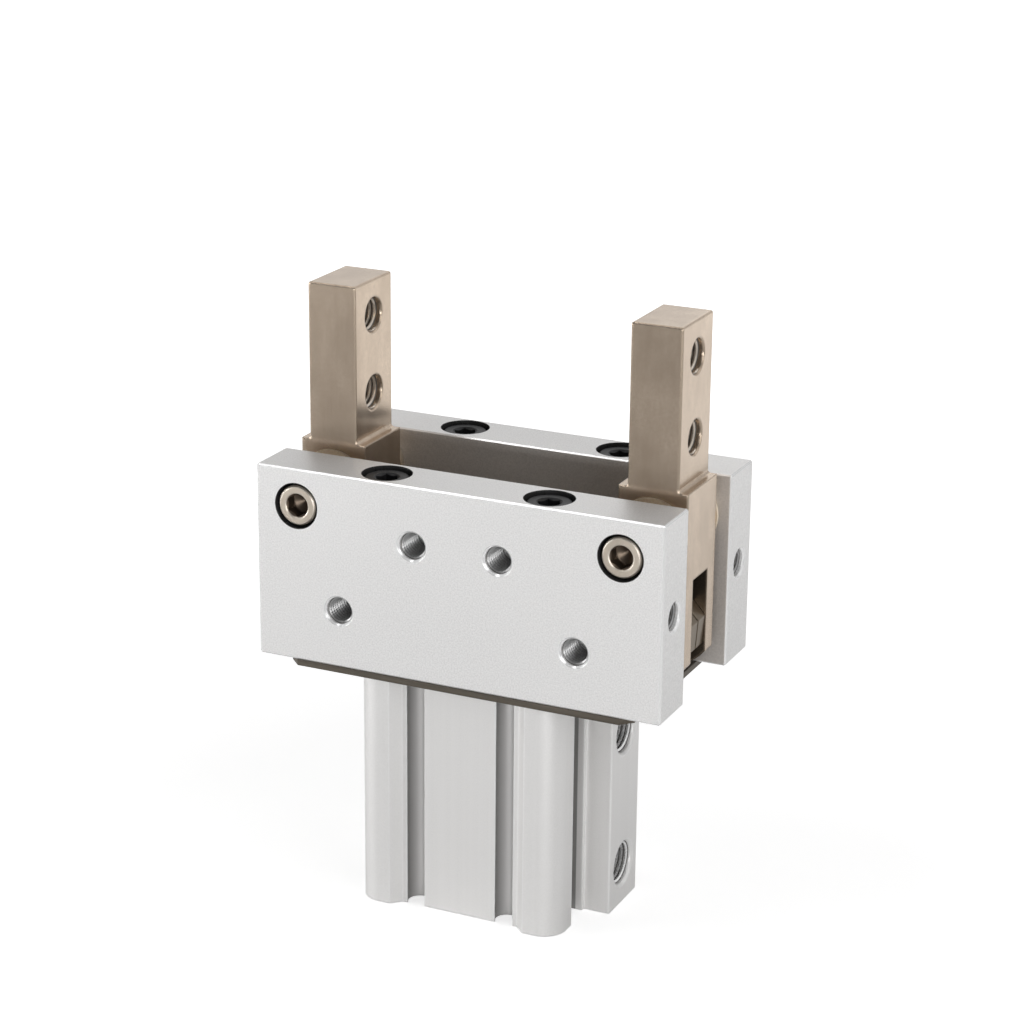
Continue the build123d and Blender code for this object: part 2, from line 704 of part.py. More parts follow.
print("stroke", round(stroke, 3), "link turn", round(degrees(open_tilt - rest_tilt), 3))
print("plates", round(plate_bottom, 2), "to", round(plate_top, 2), "finger top", round(finger_top, 2))
print("screw length", round(screw_length, 2), "collar", round(collar_length, 3), "gap", round(plate_gap, 2))
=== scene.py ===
from math import cos, pi, radians, sin

import bmesh
import bpy
from mathutils import Matrix, Vector


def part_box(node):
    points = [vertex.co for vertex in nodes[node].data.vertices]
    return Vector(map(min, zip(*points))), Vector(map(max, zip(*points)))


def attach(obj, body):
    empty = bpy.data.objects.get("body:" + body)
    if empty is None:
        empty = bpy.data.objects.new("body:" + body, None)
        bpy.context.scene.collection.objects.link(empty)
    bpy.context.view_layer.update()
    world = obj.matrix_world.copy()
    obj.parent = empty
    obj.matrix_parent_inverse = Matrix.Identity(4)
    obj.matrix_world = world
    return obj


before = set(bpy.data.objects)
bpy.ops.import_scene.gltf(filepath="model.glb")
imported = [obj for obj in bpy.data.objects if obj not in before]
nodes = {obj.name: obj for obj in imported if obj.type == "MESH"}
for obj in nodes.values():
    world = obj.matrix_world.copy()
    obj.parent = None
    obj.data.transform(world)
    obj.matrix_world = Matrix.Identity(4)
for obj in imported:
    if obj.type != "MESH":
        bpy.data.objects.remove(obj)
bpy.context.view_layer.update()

mm = 0.001
print("frame loaded,", len(nodes), "nodes")

# camera, at the photograph's viewing angle
viewPoint = {
    "azimuth": 24.93,      # degrees round from the front
    "elevation": 18.49,
    "roll": 0.54,
    "distance": 810.8,     # mm from the aim point
    "lens": 97.96,
    "aimHeight": 72.0,     # underside of the side plates
    "aimRight": 2.29,      # shift of the aim in the picture plane
    "aimUp": 40.09,
    "clip": (0.05, 20),    # metres
}


def makeCamera(setting):
    turn, tilt, roll = (radians(setting[key]) for key in ("azimuth", "elevation", "roll"))
    back = Vector((sin(turn) * cos(tilt), -cos(turn) * cos(tilt), sin(tilt)))
    right = Vector((cos(turn), sin(turn), 0))
    up = back.cross(right)
    rolledRight = right * cos(roll) + up * sin(roll)
    rolledUp = up * cos(roll) - right * sin(roll)
    aim = (
        Vector((0, 0, setting["aimHeight"]))
        + rolledRight * setting["aimRight"]
        + rolledUp * setting["aimUp"]
    )
    eye = (aim + back * setting["distance"]) * mm
    data = bpy.data.cameras.new("photoCamera")
    data.lens = setting["lens"]
    data.clip_start, data.clip_end = setting["clip"]
    camera = bpy.data.objects.new("photoCamera", data)
    bpy.context.scene.collection.objects.link(camera)
    camera.matrix_world = Matrix((
        (rolledRight.x, rolledUp.x, back.x, eye.x),
        (rolledRight.y, rolledUp.y, back.y, eye.y),
        (rolledRight.z, rolledUp.z, back.z, eye.z),
        (0, 0, 0, 1),
    ))
    bpy.context.scene.camera = camera


makeCamera(viewPoint)
print("camera placed")


# node helpers shared by the finishes
def startMaterial(name):
    material = bpy.data.materials.new(name)
    material.use_nodes = True
    tree = material.node_tree
    return material, tree, tree.nodes["Principled BSDF"]


def addNode(tree, kind, **values):
    node = tree.nodes.new(kind)
    for key, value in values.items():
        setattr(node, key, value)
    return node


def surfacePlace(tree, kind="Object"):
    return addNode(tree, "ShaderNodeTexCoord").outputs[kind]


def splitAxes(tree, source):
    split = addNode(tree, "ShaderNodeSeparateXYZ")
    tree.links.new(source, split.inputs["Vector"])
    return split.outputs


def joinValues(tree, operation, first, second):
    join = addNode(tree, "ShaderNodeMath", operation=operation)
    for socket, value in zip(join.inputs, (first, second)):
        if isinstance(value, (int, float)):
            socket.default_value = value
        else:
            tree.links.new(value, socket)
    return join.outputs["Value"]


def vectorStep(tree, operation, source, other=None, result="Vector"):
    step = addNode(tree, "ShaderNodeVectorMath", operation=operation)
    tree.links.new(source, step.inputs[0])
    if other is not None:
        step.inputs[1].default_value = other
    return step.outputs[result]


def noiseField(tree, scale, stretch=(1, 1, 1), detail=2.0, roughness=0.55):
    mapping = addNode(tree, "ShaderNodeMapping")
    mapping.inputs["Scale"].default_value = stretch
    noise = addNode(tree, "ShaderNodeTexNoise")
    noise.inputs["Scale"].default_value = scale
    noise.inputs["Detail"].default_value = detail
    noise.inputs["Roughness"].default_value = roughness
    tree.links.new(surfacePlace(tree), mapping.inputs["Vector"])
    tree.links.new(mapping.outputs["Vector"], noise.inputs["Vector"])
    return noise.outputs["Fac"]


def ramp(tree, source, low, high, fromMin=0.3, fromMax=0.7):
    spread = addNode(tree, "ShaderNodeMapRange")
    spread.inputs["From Min"].default_value = fromMin
    spread.inputs["From Max"].default_value = fromMax
    spread.inputs["To Min"].default_value = low
    spread.inputs["To Max"].default_value = high
    tree.links.new(source, spread.inputs["Value"])
    return spread.outputs["Result"]


def blendColours(tree, factor, first, second, way="MIX"):
    mix = addNode(tree, "ShaderNodeMix", data_type="RGBA", blend_type=way)
    for key, colour in ((6, first), (7, second)):
        if isinstance(colour, tuple):
            mix.inputs[key].default_value = (*colour, 1)
        else:
            tree.links.new(colour, mix.inputs[key])
    tree.links.new(factor, mix.inputs[0])
    return mix.outputs[2]


# the normal as if every edge were rounded by that reach
def softNormal(tree, reach):
    soft = addNode(tree, "ShaderNodeBevel", samples=4)
    soft.inputs["Radius"].default_value = reach
    return soft.outputs["Normal"]


# 1 where the softened normal leaves the face's own, 0 on flat faces
def edgeMask(tree, softened):
    face = addNode(tree, "ShaderNodeNewGeometry")
    alike = addNode(tree, "ShaderNodeVectorMath", operation="DOT_PRODUCT")
    tree.links.new(softened, alike.inputs[0])
    tree.links.new(face.outputs["Normal"], alike.inputs[1])
    return ramp(tree, alike.outputs["Value"], 1.0, 0.0, fromMin=0.9, fromMax=1.0)


def addBump(tree, shader, height, strength, distance, normal=None):
    bump = addNode(tree, "ShaderNodeBump")
    bump.inputs["Strength"].default_value = strength
    bump.inputs["Distance"].default_value = distance
    tree.links.new(height, bump.inputs["Height"])
    if normal is not None:
        tree.links.new(normal, bump.inputs["Normal"])
    tree.links.new(bump.outputs["Normal"], shader.inputs["Normal"])


# 1 near one of the given lines, 0 outside; folded, so that a line at +x, +y stands for all four
def nearLines(tree, lines, soft=0.05 * mm):
    fold = vectorStep(tree, "ABSOLUTE", surfacePlace(tree))
    found = None
    for centre, across, radius in lines:
        offset = vectorStep(tree, "SUBTRACT", fold, centre)
        flat = vectorStep(tree, "MULTIPLY", offset, across)
        reach = vectorStep(tree, "LENGTH", flat, result="Value")
        mask = ramp(tree, reach, 1.0, 0.0, radius - soft, radius)
        found = mask if found is None else joinValues(tree, "MAXIMUM", found, mask)
    return found


# 1 on chamfers and rounds, 0 on faces square to the axes
def slantedFaces(tree):
    axes = splitAxes(tree, vectorStep(tree, "ABSOLUTE", surfacePlace(tree, "Normal")))
    larger = joinValues(tree, "MAXIMUM", axes["X"], axes["Y"])
    largest = joinValues(tree, "MAXIMUM", larger, axes["Z"])
    return ramp(tree, largest, 1.0, 0.0, fromMin=0.8, fromMax=0.95)


# 1 inside a box and its mirror images, 0 outside
def insideBox(tree, middle, half):
    fold = vectorStep(tree, "ABSOLUTE", surfacePlace(tree))
    apart = vectorStep(tree, "ABSOLUTE", vectorStep(tree, "SUBTRACT", fold, middle))
    axes = splitAxes(tree, apart)
    inside = None
    for axis, reach in zip("XYZ", half):
        near = joinValues(tree, "LESS_THAN", axes[axis], reach)
        inside = near if inside is None else joinValues(tree, "MULTIPLY", inside, near)
    return inside


def boxMiddle(name):
    low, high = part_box(name)
    return (low + high) / 2


# blasted and clear anodised plate aluminium: even fine sparkle, painted highlights on the chamfered edges
plateFinish = {
    "light": (0.93, 0.923, 0.916),
    "dark": (0.76, 0.754, 0.748),
    # painted highlight on the chamfers and rounds
    "paintedEdgeTone": (0.98, 0.98, 0.98),
    "paintedRecessShade": (0.05, 0.05, 0.05),   # painted shade inside the sunk screw holes
    "paintedGapShade": (0.62, 0.587, 0.557),  # painted shade on the faces between the plates
    "metallic": 0.40,
    "roughness": (0.40, 0.50),
    "edgeRoughness": 0.22,
    "grain": 2200.0,                # features per metre
    "cloud": 16.0,
    "cloudShare": 0.25,
    "bump": (0.3, 0.03 * mm),       # strength and depth
    "edgeReach": 0.4 * mm,
    "screwPitch": 50.0 * mm,
    "screwHoleShade": 7.3 * mm,        # radius of the painted shade, a little over the counterbore
    "pivotHoleShade": 6.85 * mm,
}


def makePlateFinish(setting):
    material, tree, shader = startMaterial("blastedPlateAluminium")
    cloud = noiseField(tree, setting["cloud"])
    grain = noiseField(tree, setting["grain"])
    edges = slantedFaces(tree)
    body = blendColours(tree, ramp(tree, grain, 0.0, 1.0), setting["dark"], setting["light"])
    clouded = blendColours(tree, ramp(tree, cloud, 0.0, setting["cloudShare"]), body, setting["light"])
    # painted highlight: chamfers and rounds take the near-white edge colour
    paintedEdgeShading = blendColours(tree, edges, clouded, setting["paintedEdgeTone"])
    halfPitch = setting["screwPitch"] / 2
    pivot = boxMiddle("pivot_screw_right")
    # painted shade: near-black round the screw counterbores and the front pivot heads' recesses, where the
    # holes fall dark
    screwHoleShade = nearLines(tree, [((halfPitch, halfPitch, 0), (1, 1, 0), setting["screwHoleShade"])])
    pivotHoleShade = nearLines(tree, [((pivot.x, 0, pivot.z), (1, 0, 1), setting["pivotHoleShade"])])
    front = joinValues(tree, "LESS_THAN", splitAxes(tree, surfacePlace(tree))["Y"], 0)
    frontPivotShade = joinValues(tree, "MULTIPLY", pivotHoleShade, front)     # the heads are sunk in front only
    paintedRecessShade = joinValues(tree, "MAXIMUM", screwHoleShade, frontPivotShade)
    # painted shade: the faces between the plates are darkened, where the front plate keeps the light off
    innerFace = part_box("side_plate_rear")[0].y
    paintedGapShade = nearLines(tree, [((0, 0, 0), (0, 1, 0), innerFace + 0.1 * mm)])
    shaded = blendColours(tree, paintedGapShade, paintedEdgeShading, setting["paintedGapShade"], way="MULTIPLY")
    colour = blendColours(tree, paintedRecessShade, shaded, setting["paintedRecessShade"])
    tree.links.new(colour, shader.inputs["Base Color"])
    rubbed = addNode(tree, "ShaderNodeMix")
    tree.links.new(edges, rubbed.inputs[0])
    tree.links.new(ramp(tree, grain, *setting["roughness"]), rubbed.inputs[2])
    rubbed.inputs[3].default_value = setting["edgeRoughness"]
    tree.links.new(rubbed.outputs[0], shader.inputs["Roughness"])
    shader.inputs["Metallic"].default_value = setting["metallic"]
    addBump(tree, shader, grain, *setting["bump"], softNormal(tree, setting["edgeReach"]))
    return material


# extruded cylinder aluminium: soft satin with faint die lines along the profile
bodyFinish = {
    "light": (0.90, 0.89, 0.88),
    "dark": (0.82, 0.812, 0.80),
    # painted highlight along the rounded edges and the groove lips
    "paintedEdgeTone": (0.98, 0.98, 0.975),
    "groove": (0.36, 0.355, 0.35),  # painted shade under the lips of the undercut grooves
    # painted light along the groove floors
    "grooveFloor": (0.80, 0.79, 0.78),
    "metallic": 0.52,
    "roughness": (0.36, 0.46),
    "lines": 500.0,
    "lineStretch": (1, 1, 0.012),
    "lineShare": (0.3, 0.7),
    "grain": 2200.0,
    "grainShare": 0.8,
    "bump": (0.18, 0.02 * mm),
    "edgeReach": 0.7 * mm,
    "grooveAlong": 26.6 * mm,       # axis of a groove from the cylinder's middle
    "grooveAcross": 14.1 * mm,
    "grooveRadius": 3.65 * mm,
    "floorReach": (1.0 * mm, 5.2 * mm),    # painted light on the groove floor, fading up its sides
}


def makeBodyFinish(setting):
    material, tree, shader = startMaterial("extrudedCylinderAluminium")
    lines = noiseField(tree, setting["lines"], setting["lineStretch"])
    grain = noiseField(tree, setting["grain"])
    normal = softNormal(tree, setting["edgeReach"])
    drawn = blendColours(tree, ramp(tree, lines, *setting["lineShare"]), setting["dark"], setting["light"])
    speckled = blendColours(tree, ramp(tree, grain, 0.0, setting["grainShare"]), drawn, setting["light"])
    # painted highlight within the edge reach of every edge
    paintedEdgeShading = blendColours(tree, edgeMask(tree, normal), speckled, setting["paintedEdgeTone"])
    # painted shade in the undercut grooves, with painted light along their floors
    grooves = nearLines(tree, [
        ((setting["grooveAlong"], setting["grooveAcross"], 0), (1, 1, 0), setting["grooveRadius"]),
        ((setting["grooveAcross"], setting["grooveAlong"], 0), (1, 1, 0), setting["grooveRadius"]),
    ])
    fullReach, fadeReach = setting["floorReach"]
    grooveBottom = setting["grooveAlong"] - setting["grooveRadius"]
    grooveFloorLightMask = nearLines(tree, [
        ((grooveBottom, setting["grooveAcross"], 0), (1, 1, 0), fadeReach),
        ((setting["grooveAcross"], grooveBottom, 0), (1, 1, 0), fadeReach),
    ], fadeReach - fullReach)
    paintedGrooveShading = blendColours(tree, grooveFloorLightMask, setting["groove"], setting["grooveFloor"])
    tree.links.new(blendColours(tree, grooves, paintedEdgeShading, paintedGrooveShading), shader.inputs["Base Color"])
    tree.links.new(ramp(tree, grain, *setting["roughness"]), shader.inputs["Roughness"])
    shader.inputs["Metallic"].default_value = setting["metallic"]
    addBump(tree, shader, grain, *setting["bump"], normal)
    return material


# nickel plated steel: warm beige satin, faint clouds and grind marks, painted edge lines, painted shade in the
# fork and the hex socket
nickelFinishes = {
    "nickelPlatedSteel": {              # the fingers
        "hollowShade": (0.20, 0.16, 0.12),     # painted shade inside the fork
        "light": (0.675, 0.553, 0.437),
        "dark": (0.505, 0.405, 0.312),
        # painted dark line along the fingers' rounded edges, where they mirror the dark room
        "paintedEdgeTone": (0.50, 0.41, 0.32),
        "edgeReach": 0.8 * mm,
        "grind": (1, 0.25, 0.05),
        "roughness": (0.22, 0.26),
        "socket": 0.1 * mm,
    },
    # a darker copy of the nickel plating, painted shade for the links deep in the fork; the crosshead wears it
    # too
    "shadedNickelLinks": {
        # painted shade inside the fork
        "hollowShade": (0.22, 0.18, 0.135),
        "light": (0.34, 0.285, 0.225),
        "dark": (0.24, 0.20, 0.155),
        # painted highlight along the links' edges
        "paintedEdgeTone": (0.60, 0.53, 0.44),
        "edgeReach": 0.5 * mm,
        "grind": (0.06, 1, 1),
        "roughness": (0.27, 0.36),
        "socket": 0.1 * mm,
    },
    "nickelPlatedScrews": {
        "hollowShade": (0.16, 0.125, 0.095),   # painted shade inside the hex socket
        "light": (0.84, 0.745, 0.63),
        "dark": (0.72, 0.635, 0.53),
        # painted highlight along the screws' edges
        "paintedEdgeTone": (0.88, 0.82, 0.74),
        "edgeReach": 0.5 * mm,
        "grind": (1, 0.2, 1),
        "roughness": (0.34, 0.42),
        "socket": 3.5 * mm,             # radius of the hex socket
    },
}

platingMarks = {
    "cloud": 130.0,             # features per metre
    "cloudStretch": (1, 1, 0.55),
    "cloudDetail": 2.5,
    "grain": 1100.0,
    "grainShare": 0.5,
    "grind": 900.0,
    "grindDetail": 3.0,
    "grindShare": 0.35,
    "metallic": 0.92,
    "bump": (0.12, 0.02 * mm),
    "forkMiddle": -22.5 * mm,   # middle of the fork's slot, from the link pin's height
    "forkHalf": (10.3 * mm, 5.56 * mm, 40.05 * mm),
}


def makeNickelFinish(name, setting):
    material, tree, shader = startMaterial(name)
    marks = platingMarks
    cloud = noiseField(tree, marks["cloud"], marks["cloudStretch"], marks["cloudDetail"])
    grain = noiseField(tree, marks["grain"])
    grind = noiseField(tree, marks["grind"], setting["grind"], marks["grindDetail"])
    normal = softNormal(tree, setting["edgeReach"])
    base = blendColours(tree, ramp(tree, cloud, 0.0, 1.0), setting["dark"], setting["light"])
    ground = blendColours(tree, ramp(tree, grind, 0.0, marks["grindShare"]), base, setting["light"])
    grained = blendColours(tree, ramp(tree, grain, 0.0, marks["grainShare"]), ground, setting["dark"])
    # painted edge lines: dark on the fingers, light on the links and screws
    paintedEdgeShading = blendColours(tree, edgeMask(tree, normal), grained, setting["paintedEdgeTone"])
    pivot = boxMiddle("pivot_screw_right")
    forkMiddle = boxMiddle("finger_pin_right").z + marks["forkMiddle"]
    # painted shade: the hex socket and the fork's slot are darkened, where little light gets in
    socket = nearLines(tree, [((pivot.x, 0, pivot.z), (1, 0, 1), setting["socket"])])
    forkShade = insideBox(tree, (pivot.x, 0, forkMiddle), marks["forkHalf"])
    for mask in (socket, forkShade):
        paintedEdgeShading = blendColours(tree, mask, paintedEdgeShading, setting["hollowShade"])
    tree.links.new(paintedEdgeShading, shader.inputs["Base Color"])
    roughness = ramp(tree, cloud, *setting["roughness"], fromMin=0.15, fromMax=0.85)
    tree.links.new(roughness, shader.inputs["Roughness"])
    shader.inputs["Metallic"].default_value = marks["metallic"]
    addBump(tree, shader, grain, *marks["bump"], normal)
    return material


# machined metal: fine rings round a turned part or a plain cut, for pins, bushes and the rod
cutFinishes = {
    "cutAluminium": {
        "light": (0.86, 0.86, 0.86),
        "dark": (0.66, 0.66, 0.67),
        "metallic": 0.95,
        "roughness": (0.20, 0.32),
        "marks": 900.0,
        "stretch": (1, 1, 1),
    },
    "groundPinSteel": {
        "light": (0.68, 0.67, 0.66),
        "dark": (0.54, 0.53, 0.52),
        "metallic": 0.95,
        "roughness": (0.20, 0.32),
        "marks": 1200.0,
        "stretch": (1, 0.1, 1),
    },
    "hardChromeRod": {
        "light": (0.80, 0.80, 0.80),
        "dark": (0.74, 0.74, 0.75),
        "metallic": 1.0,
        "roughness": (0.08, 0.20),
        "marks": 1500.0,
        "stretch": (1, 1, 0.3),
    },
    "turnedBronze": {
        "light": (0.86, 0.75, 0.60),
        "dark": (0.76, 0.64, 0.49),
        "metallic": 0.8,
        "roughness": (0.28, 0.40),
        "marks": 1500.0,
        "stretch": (1, 0.1, 1),
    },
    "blackOxideSteel": {
        "light": (0.022, 0.022, 0.024),
        "dark": (0.010, 0.010, 0.011),
        "metallic": 0.25,
        "roughness": (0.42, 0.54),
        "marks": 1100.0,
        "stretch": (1, 1, 1),
    },
    "darkBasePlate": {
        "light": (0.15, 0.13, 0.105),
        "dark": (0.09, 0.078, 0.062),
        "metallic": 0.6,
        "roughness": (0.42, 0.54),
        "marks": 500.0,
        "stretch": (0.05, 1, 1),
    },
}


def makeCutFinish(name, setting):
    material, tree, shader = startMaterial(name)
    marks = noiseField(tree, setting["marks"], setting["stretch"])
    normal = softNormal(tree, reach=0.12 * mm)
    cut = blendColours(tree, ramp(tree, marks, 0.0, 1.0), setting["dark"], setting["light"])
    # painted highlight: the edges take the light colour
    paintedEdgeShading = blendColours(tree, edgeMask(tree, normal), cut, setting["light"])
    tree.links.new(paintedEdgeShading, shader.inputs["Base Color"])
    tree.links.new(ramp(tree, marks, *setting["roughness"]), shader.inputs["Roughness"])
    shader.inputs["Metallic"].default_value = setting["metallic"]
    addBump(tree, shader, marks, strength=0.15, distance=0.015 * mm, normal=normal)
    return material


# tapped holes, each a little uneven, no bump: painted shade on the roots, a dark copy for painted shade in the
# plate holes, a light copy for painted highlight in the fingers
threadFinishes = {
    "threadAluminium": {
        "light": (0.95, 0.95, 0.95),
        "dark": (0.88, 0.88, 0.88),
        "roughness": (0.24, 0.30),
    },
    # painted shade: a dark copy for the holes in the plates
    "shadedPlateThread": {
        "light": (0.44, 0.44, 0.44),
        "dark": (0.36, 0.36, 0.36),
        "roughness": (0.34, 0.40),
    },
    # painted shade at the thread roots
    "threadRootShade": {
        "light": (0.16, 0.155, 0.15),
        "dark": (0.11, 0.106, 0.10),
        "roughness": (0.40, 0.46),
    },
    # painted highlight: a light copy of the finger nickel
    "litNickelThread": {
        "light": (0.74, 0.67, 0.59),
        "dark": (0.64, 0.57, 0.49),
        "roughness": (0.18, 0.24),
    },
}


def makeThreadFinish(name, setting):
    material, tree, shader = startMaterial(name)
    marks = noiseField(tree, scale=700.0)
    crest = blendColours(tree, ramp(tree, marks, 0.0, 1.0), setting["dark"], setting["light"])
    tree.links.new(crest, shader.inputs["Base Color"])
    tree.links.new(ramp(tree, marks, *setting["roughness"]), shader.inputs["Roughness"])
    shader.inputs["Metallic"].default_value = 0.75
    return material


# rubber and plastic: dull, with a slightly uneven surface
dullFinishes = {
    "bondedMagnet": {
        "light": (0.26, 0.26, 0.27),
        "dark": (0.18, 0.18, 0.19),
        "roughness": (0.60, 0.70),
    },
    "sealRubber": {
        "light": (0.05, 0.05, 0.05),
        "dark": (0.02, 0.02, 0.02),
        "roughness": (0.55, 0.65),
    },
    "bumperRubber": {
        "light": (0.24, 0.13, 0.07),
        "dark": (0.15, 0.08, 0.045),
        "roughness": (0.60, 0.70),
    },
    "wearRingPlastic": {
        "light": (0.80, 0.75, 0.63),
        "dark": (0.68, 0.63, 0.52),
        "roughness": (0.50, 0.60),
    },
}


def makeDullFinish(name, setting):
    material, tree, shader = startMaterial(name)
    mottle = noiseField(tree, scale=1200.0, detail=3.0)
    mottled = blendColours(tree, ramp(tree, mottle, 0.0, 1.0), setting["dark"], setting["light"])
    tree.links.new(mottled, shader.inputs["Base Color"])
    tree.links.new(ramp(tree, mottle, *setting["roughness"]), shader.inputs["Roughness"])
    addBump(tree, shader, mottle, strength=0.2, distance=0.03 * mm)
    return material


finishes = {
    "blastedPlateAluminium": makePlateFinish(plateFinish),
    "extrudedCylinderAluminium": makeBodyFinish(bodyFinish),
}
for makeFinish, settings in (
    (makeNickelFinish, nickelFinishes),
    (makeCutFinish, cutFinishes),
    (makeThreadFinish, threadFinishes),
    (makeDullFinish, dullFinishes),
):
    for name, setting in settings.items():
        finishes[name] = makeFinish(name, setting)
print("finishes made")

# which finish each solid wears
nodeFinish = {
    "cylinder_body": "extrudedCylinderAluminium",
    "side_plate_front": "blastedPlateAluminium",
    "side_plate_rear": "blastedPlateAluminium",
    "base_plate": "darkBasePlate",
    "plate_screws": "blackOxideSteel",
    "cover_snap_ring": "blackOxideSteel",
    "rod_cover": "cutAluminium",
    "piston": "cutAluminium",
    "rod": "hardChromeRod",
    "crosshead": "shadedNickelLinks",
    "rod_bush": "turnedBronze",
    "rod_seal": "sealRubber",
    "cover_o_ring": "sealRubber",
    "piston_seal": "sealRubber",
    "piston_magnet": "bondedMagnet",
    "wear_ring": "wearRingPlastic",
    "lower_bumper": "bumperRubber",
    "upper_bumper": "bumperRubber",
}
for side in ("left", "right"):
    nodeFinish[f"finger_{side}"] = "nickelPlatedSteel"
    nodeFinish[f"finger_pin_{side}"] = "groundPinSteel"
    nodeFinish[f"finger_bush_{side}"] = "turnedBronze"
    nodeFinish[f"crosshead_pin_{side}"] = "groundPinSteel"
    nodeFinish[f"pivot_screw_{side}"] = "nickelPlatedScrews"
    for face in ("front", "rear"):
        nodeFinish[f"link_{side}_{face}"] = "shadedNickelLinks"
        nodeFinish[f"thrust_washer_{side}_{face}"] = "turnedBronze"
        nodeFinish[f"spacer_collar_{side}_{face}"] = "nickelPlatedScrews"

for name, node in nodes.items():
    node.data.materials.clear()
    node.data.materials.append(finishes[nodeFinish[name]])
print("solids dressed")


# internal threads: a ridge wound up the wall of each tapped hole
threadForm = {
    "stepsPerTurn": 32,
    "backing": 0.15 * mm,   # how far the ridge is sunk into the wall
    "fadeTurns": 0.25,      # turns over which each end runs out
    "shoulder": 0.45,       # share of the height where the flanks steepen
    "rises": (-0.5, -0.31, -0.09, 0.09, 0.31, 0.5),     # in pitches: root, shoulder, crest and back
}


def windThread(name, mouth, inward, depth, size):
    pitch, wall = size["pitch"], size["wall"]
    inward = Vector(inward).normalized()
    across = inward.orthogonal().normalized()
    other = inward.cross(across)
    turns = depth / pitch - 1
    steps = int(turns * threadForm["stepsPerTurn"])
    root = wall + threadForm["backing"]
    shell = bmesh.new()
    rings = []
    for step in range(steps + 1):
        turned = step / threadForm["stepsPerTurn"]
        angle = 2 * pi * turned
        centre = mouth + inward * (pitch * (turned + 0.5))
        fade = min(1.0, turned / threadForm["fadeTurns"], (turns - turned) / threadForm["fadeTurns"])
        narrowing = size["taper"] * pitch * turned
        crest = wall - (wall - size["crest"] + narrowing) * max(fade, 0.0)
        shoulder = root + (crest - root) * threadForm["shoulder"]
        spoke = across * cos(angle) + other * sin(angle)
        radii = (root, shoulder, crest, crest, shoulder, root)
        rings.append([
            shell.verts.new(centre + spoke * radius + inward * (rise * pitch))
            for radius, rise in zip(radii, threadForm["rises"])
        ])
    for before, after in zip(rings, rings[1:]):
        for corner in range(len(before)):
            following = (corner + 1) % len(before)
            face = shell.faces.new((before[corner], before[following], after[following], after[corner]))
            face.material_index = 1 if corner in (0, 4) else 0      # painted shade on the flanks' feet
    shell.faces.new(reversed(rings[0]))
    shell.faces.new(rings[-1])
    bmesh.ops.recalc_face_normals(shell, faces=shell.faces)
    mesh = bpy.data.meshes.new(name)
    shell.to_mesh(mesh)
    shell.free()
    thread = bpy.data.objects.new(name, mesh)
    bpy.context.scene.collection.objects.link(thread)
    return thread


def seatThread(name, body, finish, mouth, inward, depth, size):
    thread = windThread(name, mouth, inward, depth, size)
    thread.data.materials.append(finishes[finish])
    thread.data.materials.append(finishes["threadRootShade"])
    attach(thread, body)


screwThread = {"pitch": 1.25 * mm, "wall": 4.0 * mm, "crest": 3.38 * mm, "taper": 0.0}
fingerThread = {"pitch": 1.5 * mm, "wall": 5.0 * mm, "crest": 4.25 * mm, "taper": 0.0}
portThread = {"pitch": 1.337 * mm, "wall": 6.5 * mm, "crest": 5.75 * mm, "taper": 1 / 32}

plateHoles = {
    "upperHalf": 13.2 * mm,     # half pitch of the two upper holes
    "upperHeight": 40.0 * mm,   # above the plates' underside
    "lowerHalf": 36.5 * mm,
    "lowerHeight": 17.0 * mm,
    "endHeight": 29.0 * mm,
    "mouthDepth": 0.5 * mm,     # where the thread starts under the chamfer
    "faceDepth": 12.0 * mm,
    "endDepth": 14.0 * mm,
}
for face, sign in (("front", -1), ("rear", 1)):
    low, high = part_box(f"side_plate_{face}")
    outer = low.y if sign < 0 else high.y
    middle = (low.y + high.y) / 2
    for side, direction in (("Left", -1), ("Right", 1)):
        for row in ("upper", "lower"):
            mouth = Vector((direction * plateHoles[row + "Half"], outer, low.z + plateHoles[row + "Height"]))
            mouth.y -= sign * plateHoles["mouthDepth"]
            seatThread(f"{face}{row.capitalize()}Thread{side}", "frame",
                       "shadedPlateThread", mouth, (0, -sign, 0), plateHoles["faceDepth"], screwThread)
        mouth = Vector((direction * high.x, middle, low.z + plateHoles["endHeight"]))
        mouth.x -= direction * plateHoles["mouthDepth"]
        seatThread(f"{face}EndThread{side}", "frame",
                   "shadedPlateThread", mouth, (-direction, 0, 0), plateHoles["endDepth"], screwThread)

fingerHoles = {
    "fromTop": 10.5 * mm,
    "pitch": 23.0 * mm,
    "halfBlock": 7.6 * mm,      # half the finger's width there
    "mouthDepth": 0.3 * mm,
}
for side in ("left", "right"):
    low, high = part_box(f"finger_{side}")
    middle = (low.x + high.x) / 2
    halfBlock = fingerHoles["halfBlock"]
    for row in range(2):
        height = high.z - fingerHoles["fromTop"] - row * fingerHoles["pitch"]
        mouth = Vector((middle - halfBlock + fingerHoles["mouthDepth"], 0, height))
        seatThread(f"{side}FingerThread{row + 1}", f"finger_{side}", "litNickelThread",
                   mouth, (1, 0, 0), 2 * (halfBlock - fingerHoles["mouthDepth"]), fingerThread)

portHoles = {
    "heights": (12.0 * mm, 53.69 * mm),
    "mouthDepth": 0.3 * mm,
    "depth": 11.0 * mm,
}
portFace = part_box("cylinder_body")[1].x
for count, height in enumerate(portHoles["heights"]):
    mouth = Vector((portFace - portHoles["mouthDepth"], 0, height))
    seatThread(f"portThread{count + 1}", "frame", "threadAluminium",
               mouth, (-1, 0, 0), portHoles["depth"], portThread)

